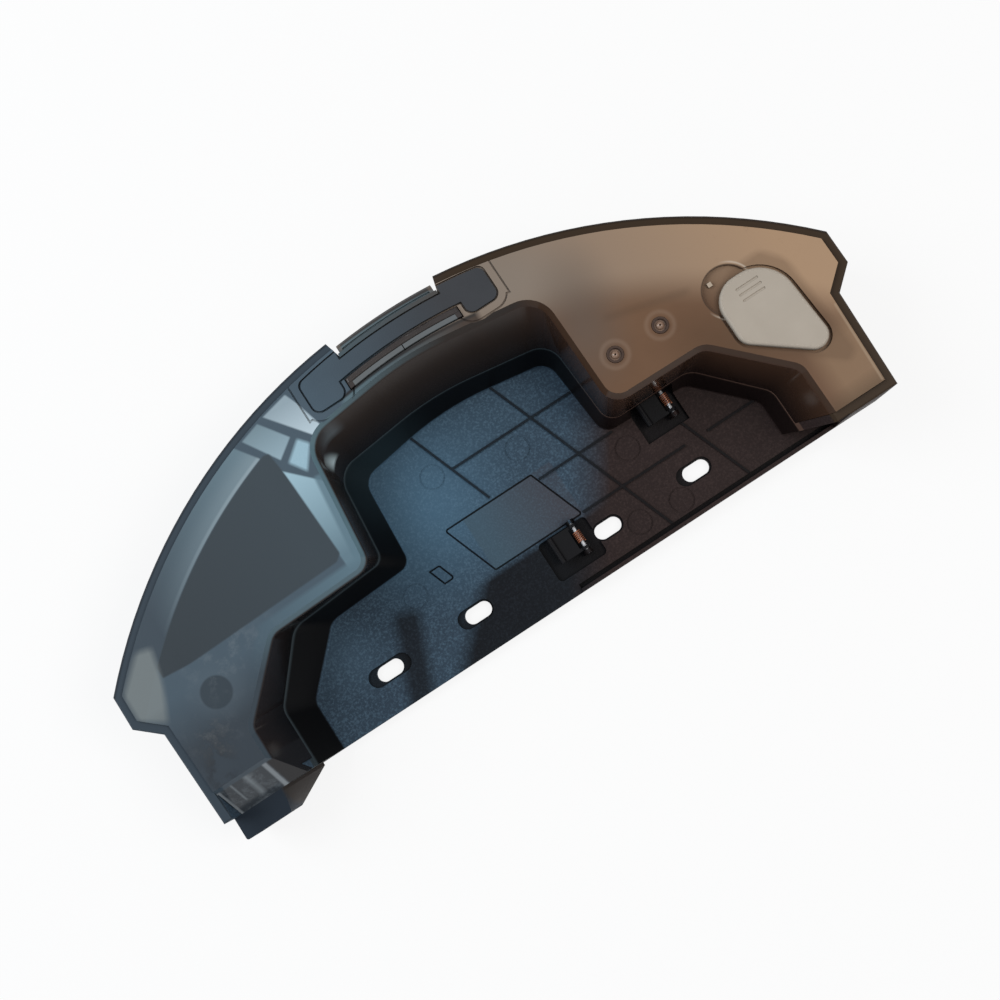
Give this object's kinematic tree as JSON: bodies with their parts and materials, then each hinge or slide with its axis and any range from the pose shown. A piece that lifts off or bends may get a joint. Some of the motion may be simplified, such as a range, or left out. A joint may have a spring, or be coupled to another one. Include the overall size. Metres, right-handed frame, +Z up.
{
  "type": "robot vacuum water tank",
  "caption": "Crescent water tank of a round floor robot: smoked cover on a black tray, soft filler plug, press latch, plate with slotted holes, pump inside.",
  "frame": {"origin": "middle of the tank's footprint, on its flat underside", "axes": "+X along the tank's width towards the arm with the filler plug, +Y from the open bay to the outer arc with the release button, +Z up out of the cover"},
  "size_m": [0.2578, 0.1146, 0.0342],
  "materials": {
    "tray_plastic": "spark-textured black moulding",
    "smoked_cover": "smoked translucent moulding, gloss outside with a frosted pattern inside",
    "dark_trim": "fine matte, dark slate",
    "button_plastic": "gloss dark moulding",
    "bar_plastic": "satin dark moulding",
    "grey_rubber": "soft grey rubber",
    "plug_rubber": "soft warm light grey rubber",
    "dark_lid": "matte dark moulding",
    "board_laminate": "green board laminate",
    "steel": "plain steel",
    "motor_can": "plated steel can",
    "pump_plastic": "grey moulding",
    "clear_tube": "milky silicone tube",
    "filter_plastic": "off-white moulding",
    "connector_plastic": "matte black moulding",
    "contact_metal": "plated contact blades",
    "catch_plastic": "matte black moulding",
    "spring_steel": "spring wire",
    "copper_wire": "copper-coloured spring wire",
    "nozzle_rubber": "soft black rubber",
    "hook_strip": "black hook tape",
    "seal_rubber": "soft light rubber"
  },
  "bodies": {
    "tank": {"base_tray": "tray_plastic", "tank_cover": "smoked_cover", "latch_plate": "dark_trim", "dry_lid": "dark_lid", "control_board": "board_laminate", "board_screws": "steel", "pump_motor": "motor_can", "pump_head": "pump_plastic", "suction_tube": "clear_tube", "delivery_tube_right": "clear_tube", "delivery_tube_left": "clear_tube", "inlet_filter": "filter_plastic", "connector_block": "connector_plastic", "connector_contacts": "contact_metal", "catch_pins": "steel", "catch_springs": "copper_wire", "button_spring_left": "spring_steel", "button_spring_right": "spring_steel", "outlet_nozzle_left": "nozzle_rubber", "outlet_nozzle_right": "nozzle_rubber", "hook_strip_left": "hook_strip", "hook_strip_right": "hook_strip", "vent_seal_left": "seal_rubber", "vent_seal_right": "seal_rubber"},
    "button": {"release_button": "button_plastic"},
    "latch": {"latch_bar": "bar_plastic", "latch_insert_left": "grey_rubber", "latch_insert_right": "grey_rubber"},
    "plug": {"filler_plug": "plug_rubber"},
    "front_catch_lever": {"front_catch": "catch_plastic"},
    "side_catch_lever": {"side_catch": "catch_plastic"}
  },
  "joints": [
    {"name": "button_slide", "type": "slide", "parent": "tank", "child": "button", "axis": [0, -1, 0], "range_m": [0, 0.003], "stiffness_N_per_m": 400, "springref_m": -0.002, "deforming": ["button_spring_left", "button_spring_right"]},
    {"name": "latch_drop", "type": "slide", "parent": "tank", "child": "latch", "axis": [0, 0, -1], "range_m": [0, 0.0018]},
    {"name": "plug_hinge", "type": "hinge", "parent": "tank", "child": "plug", "pos_m": [0.1094, -0.02755, 0.03425], "axis": [0.8979, 0.4402, 0], "range_deg": [0, 100]},
    {"name": "front_catch_hinge", "type": "hinge", "parent": "tank", "child": "front_catch_lever", "pos_m": [0.0164, -0.03415, 0.0054], "axis": [0, 1, 0], "range_deg": [-15, 0], "stiffness_Nm_per_rad": 0.004, "springref_deg": 11.46},
    {"name": "side_catch_hinge", "type": "hinge", "parent": "tank", "child": "side_catch_lever", "pos_m": [0.0636, -0.01255, 0.0054], "axis": [0, 1, 0], "range_deg": [-15, 0], "stiffness_Nm_per_rad": 0.004, "springref_deg": 11.46}
  ],
  "couplings": [
    {"joint": "latch_drop", "follows": "button_slide", "ratio": 0.6}
  ]
}
